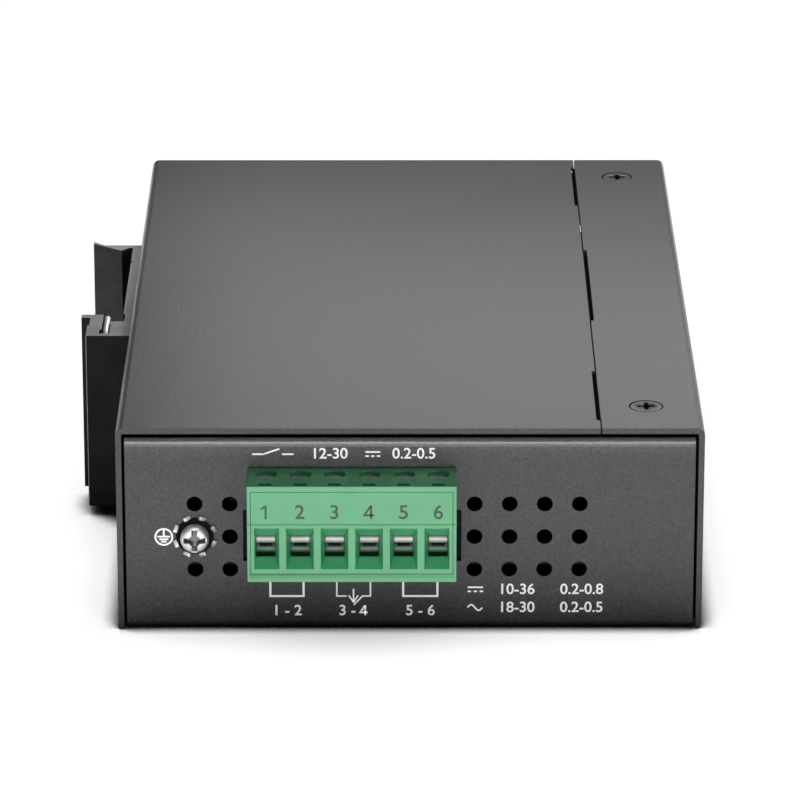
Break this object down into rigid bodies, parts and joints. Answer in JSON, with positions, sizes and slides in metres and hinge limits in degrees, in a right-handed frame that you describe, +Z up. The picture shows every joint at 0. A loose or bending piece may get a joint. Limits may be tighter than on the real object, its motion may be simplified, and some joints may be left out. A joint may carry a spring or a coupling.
{
  "type": "industrial media converter",
  "caption": "Slim DIN-rail media converter in a folded dark metal case, with copper and fibre ports, a rail clip and a pluggable screw terminal with rising-cage clamps.",
  "frame": {"origin": "centre of the case's footprint on its underside, as it lies on its large side", "axes": "+Z up through the thickness, -Y towards the terminal end, -X towards the rail clip, +X the port face"},
  "size_m": [0.0954, 0.1392, 0.0319],
  "materials": {
    "powder_coat": "fine textured powder coat",
    "black_screw": "black zinc",
    "zinc_steel": "bright zinc",
    "clip_alloy": "black anodised",
    "spring_steel": "bright wire",
    "board_green": "solder mask",
    "terminal_green": "satin moulding",
    "tinned_metal": "tinned",
    "port_steel": "nickel",
    "contact_gold": "gold flash",
    "black_plastic": "moulded",
    "transformer_tape": "taped winding",
    "capacitor_sleeve": "sleeve",
    "clear_plastic": "diffused lens"
  },
  "bodies": {
    "case": {"base_chassis": "powder_coat", "main_cover": "powder_coat", "front_cap": "powder_coat", "cap_screws": "black_screw", "clip_screws": "black_screw", "clinch_nuts": "zinc_steel", "ground_screw": "zinc_steel", "ground_washer": "zinc_steel", "standoffs": "zinc_steel", "board_screws": "zinc_steel", "rail_clip": "clip_alloy", "rail_spring": "spring_steel", "circuit_board": "board_green", "header_pins": "tinned_metal", "rj45_jack": "port_steel", "sfp_cage": "port_steel", "crystal": "port_steel", "rj45_contacts": "contact_gold", "terminal_header": "black_plastic", "sfp_connector": "black_plastic", "led_holder": "black_plastic", "alarm_relay": "black_plastic", "bridge_rectifier": "black_plastic", "switch_chip": "black_plastic", "lan_transformer": "black_plastic", "power_inductor": "black_plastic", "power_transformer": "transformer_tape", "bulk_capacitors": "capacitor_sleeve", "led_lenses": "clear_plastic"},
    "plug": {"plug_housing": "terminal_green", "plug_face": "terminal_green", "contact_strips": "tinned_metal"},
    "clamp_screw_1": {"clamp_screw_1": "tinned_metal"},
    "clamp_screw_2": {"clamp_screw_2": "tinned_metal"},
    "clamp_screw_3": {"clamp_screw_3": "tinned_metal"},
    "clamp_screw_4": {"clamp_screw_4": "tinned_metal"},
    "clamp_screw_5": {"clamp_screw_5": "tinned_metal"},
    "clamp_screw_6": {"clamp_screw_6": "tinned_metal"},
    "clamp_cage_1": {"clamp_cage_1": "tinned_metal"},
    "clamp_cage_2": {"clamp_cage_2": "tinned_metal"},
    "clamp_cage_3": {"clamp_cage_3": "tinned_metal"},
    "clamp_cage_4": {"clamp_cage_4": "tinned_metal"},
    "clamp_cage_5": {"clamp_cage_5": "tinned_metal"},
    "clamp_cage_6": {"clamp_cage_6": "tinned_metal"}
  },
  "joints": [
    {"name": "plug_slide", "type": "slide", "parent": "case", "child": "plug", "axis": [0, -1, 0], "range_m": [0, 0.011]},
    {"name": "screw_turn_1", "type": "hinge", "parent": "plug", "child": "clamp_screw_1", "pos_m": [-0.02127, -0.06834, 0.0235], "axis": [0, 0, 1], "continuous": true},
    {"name": "cage_slide_1", "type": "slide", "parent": "plug", "child": "clamp_cage_1", "axis": [0, 0, -1], "range_m": [0, 0.002]},
    {"name": "screw_turn_2", "type": "hinge", "parent": "plug", "child": "clamp_screw_2", "pos_m": [-0.01619, -0.06834, 0.0235], "axis": [0, 0, 1], "continuous": true},
    {"name": "cage_slide_2", "type": "slide", "parent": "plug", "child": "clamp_cage_2", "axis": [0, 0, -1], "range_m": [0, 0.002]},
    {"name": "screw_turn_3", "type": "hinge", "parent": "plug", "child": "clamp_screw_3", "pos_m": [-0.01111, -0.06834, 0.0235], "axis": [0, 0, 1], "continuous": true},
    {"name": "cage_slide_3", "type": "slide", "parent": "plug", "child": "clamp_cage_3", "axis": [0, 0, -1], "range_m": [0, 0.002]},
    {"name": "screw_turn_4", "type": "hinge", "parent": "plug", "child": "clamp_screw_4", "pos_m": [-0.00603, -0.06834, 0.0235], "axis": [0, 0, 1], "continuous": true},
    {"name": "cage_slide_4", "type": "slide", "parent": "plug", "child": "clamp_cage_4", "axis": [0, 0, -1], "range_m": [0, 0.002]},
    {"name": "screw_turn_5", "type": "hinge", "parent": "plug", "child": "clamp_screw_5", "pos_m": [-0.00095, -0.06834, 0.0235], "axis": [0, 0, 1], "continuous": true},
    {"name": "cage_slide_5", "type": "slide", "parent": "plug", "child": "clamp_cage_5", "axis": [0, 0, -1], "range_m": [0, 0.002]},
    {"name": "screw_turn_6", "type": "hinge", "parent": "plug", "child": "clamp_screw_6", "pos_m": [0.00413, -0.06834, 0.0235], "axis": [0, 0, 1], "continuous": true},
    {"name": "cage_slide_6", "type": "slide", "parent": "plug", "child": "clamp_cage_6", "axis": [0, 0, -1], "range_m": [0, 0.002]}
  ],
  "couplings": [
    {"joint": "screw_turn_1", "follows": "cage_slide_1", "rad_per_m": 12566},
    {"joint": "screw_turn_2", "follows": "cage_slide_2", "rad_per_m": 12566},
    {"joint": "screw_turn_3", "follows": "cage_slide_3", "rad_per_m": 12566},
    {"joint": "screw_turn_4", "follows": "cage_slide_4", "rad_per_m": 12566},
    {"joint": "screw_turn_5", "follows": "cage_slide_5", "rad_per_m": 12566},
    {"joint": "screw_turn_6", "follows": "cage_slide_6", "rad_per_m": 12566}
  ]
}
